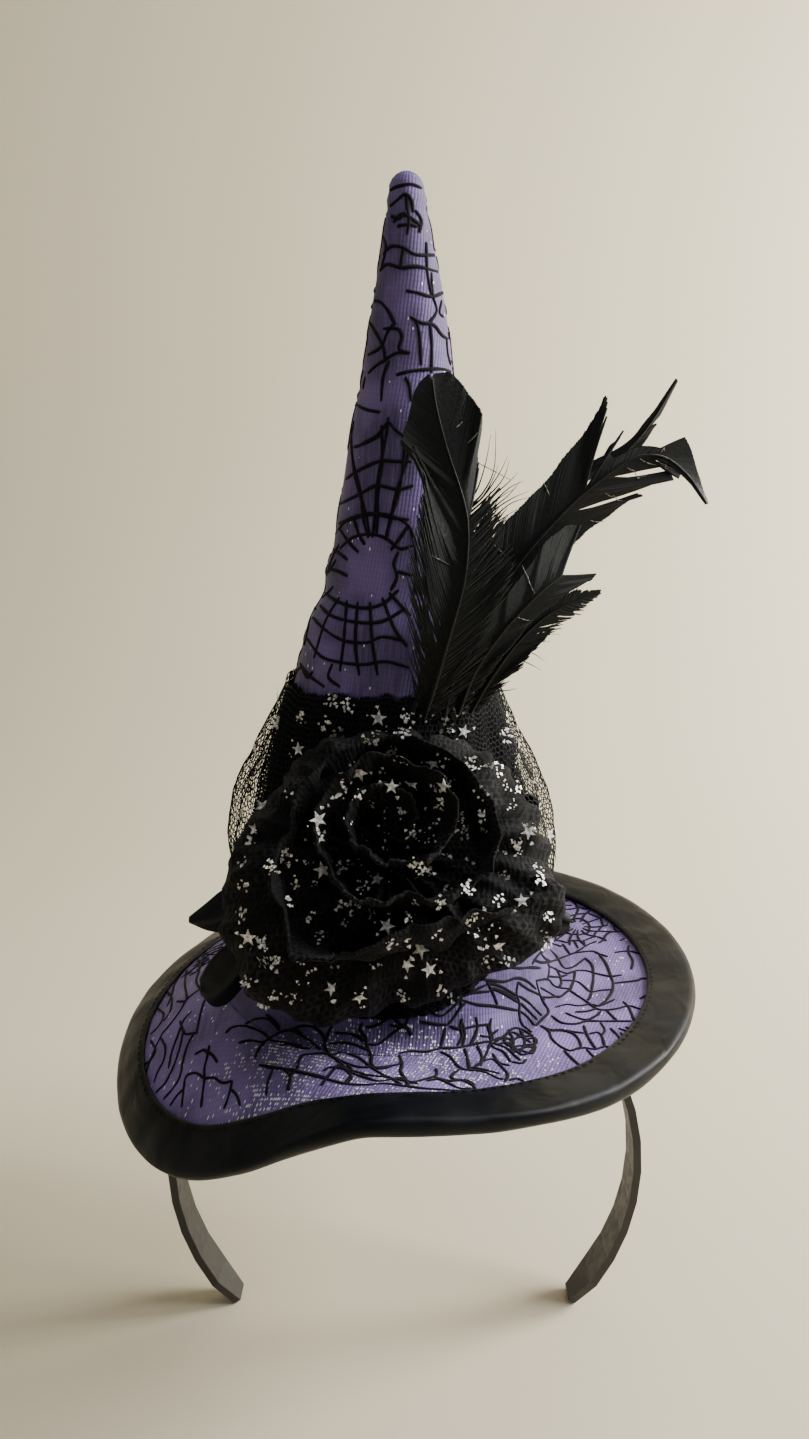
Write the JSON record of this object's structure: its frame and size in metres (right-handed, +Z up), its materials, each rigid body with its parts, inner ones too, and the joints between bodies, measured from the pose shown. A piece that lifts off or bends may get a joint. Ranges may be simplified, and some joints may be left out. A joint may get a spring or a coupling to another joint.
{
  "type": "witch hat headband",
  "caption": "Small pointed witch hat of web-patterned purple cloth with a satin-bound wavy brim, net rosette, satin bow and feathers, carried on a plain headband.",
  "frame": {"origin": "top of the headband's inside, where it sits on the head", "axes": "+Z up along the crown, -Y towards the rosette, +X to the right seen from the front"},
  "size_m": [0.1749, 0.1744, 0.3458],
  "materials": {
    "crown_cloth": "fine ribbed cloth with raised black web lines",
    "brim_cloth": "fine ribbed cloth with raised black web lines and some silver glitter",
    "binding_satin": "black satin",
    "net": "fine black net with silver foil stars",
    "rose_net": "folded black net with silver foil stars",
    "bow_satin": "black satin",
    "feather": "black feather with a soft sheen",
    "band": "plain black"
  },
  "bodies": {
    "root": {"crown": "crown_cloth", "brim": "brim_cloth", "brim_binding": "binding_satin", "net_band": "net", "net_rose": "rose_net", "satin_loop_left": "bow_satin", "satin_tail_left": "bow_satin", "satin_loop_right": "bow_satin", "satin_tail_right": "bow_satin", "feather_upright": "feather", "feather_long": "feather", "feather_curled": "feather", "feather_square": "feather", "feather_low": "feather", "headband": "band"}
  },
  "joints": []
}
